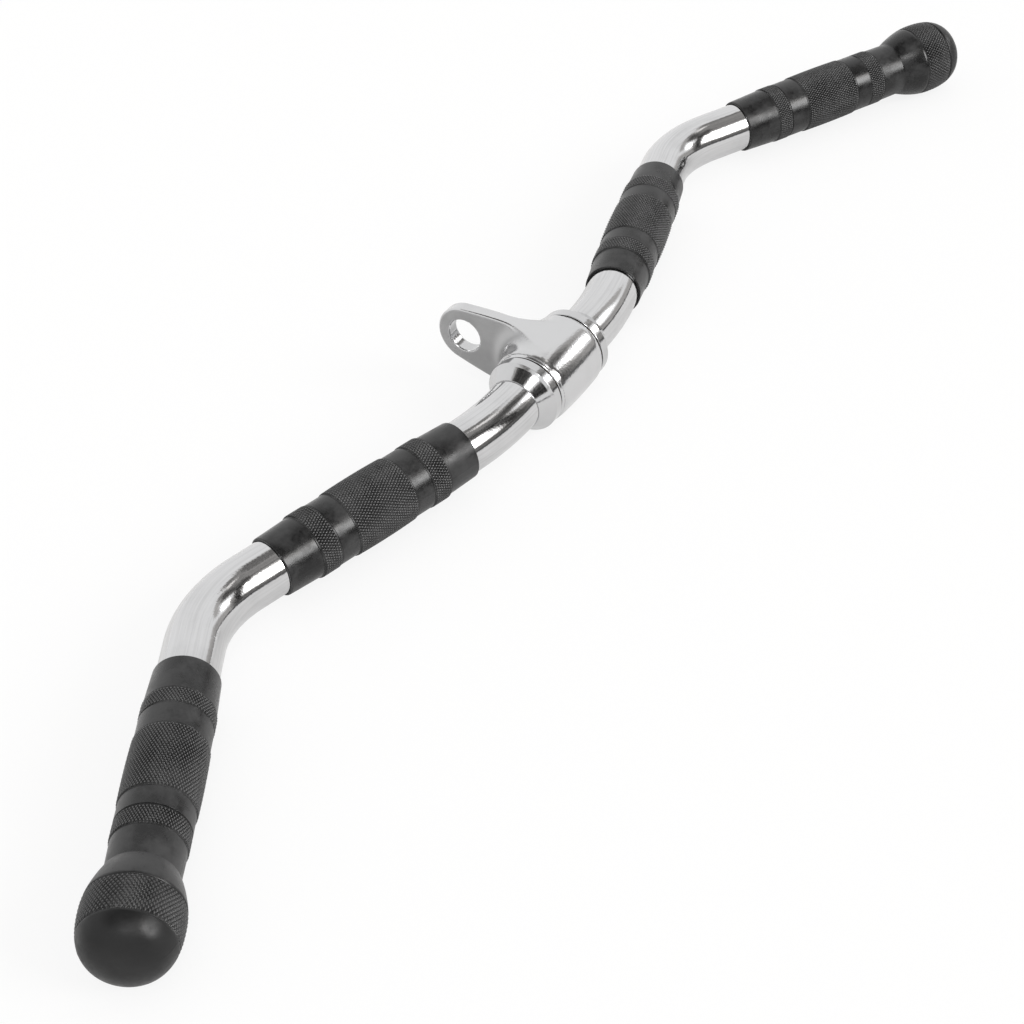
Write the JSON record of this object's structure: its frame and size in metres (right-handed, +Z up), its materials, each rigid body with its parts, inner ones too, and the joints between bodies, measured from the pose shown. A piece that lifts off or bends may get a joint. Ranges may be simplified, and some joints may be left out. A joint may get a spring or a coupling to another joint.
{
  "type": "lat pulldown bar",
  "caption": "Bent steel cable-machine bar with knurled rubber grips ending in balls, and a cast hanger with an eye that turns freely on its middle.",
  "frame": {"origin": "on the surface that the bar lies on, under the middle of its bounding box", "axes": "+X along the bar, +Y to the side of the elbows and the lug, +Z up out of the plane of the bends"},
  "size_m": [0.7494, 0.117, 0.044],
  "materials": {
    "bar_chrome": "polished chrome plate on steel",
    "collar_chrome": "polished chrome plate on steel",
    "cast_chrome": "chrome plate over a polished casting",
    "bush_bronze": "turned bronze, oiled",
    "screw_steel": "black oxide",
    "grip_rubber": "moulded hard rubber, satin, knurled bands"
  },
  "bodies": {
    "bar": {"bent_bar": "bar_chrome", "collar_left": "collar_chrome", "collar_right": "collar_chrome", "collar_screw_left": "screw_steel", "collar_screw_right": "screw_steel", "inner_grip_left": "grip_rubber", "inner_grip_right": "grip_rubber", "outer_grip_left": "grip_rubber", "outer_grip_right": "grip_rubber"},
    "hanger": {"swivel_hanger": "cast_chrome", "bush_left": "bush_bronze", "bush_right": "bush_bronze"}
  },
  "joints": [
    {"name": "hanger_swivel", "type": "hinge", "parent": "bar", "child": "hanger", "pos_m": [0, 0.00028, 0.0194], "axis": [1, 0, 0], "continuous": true}
  ]
}
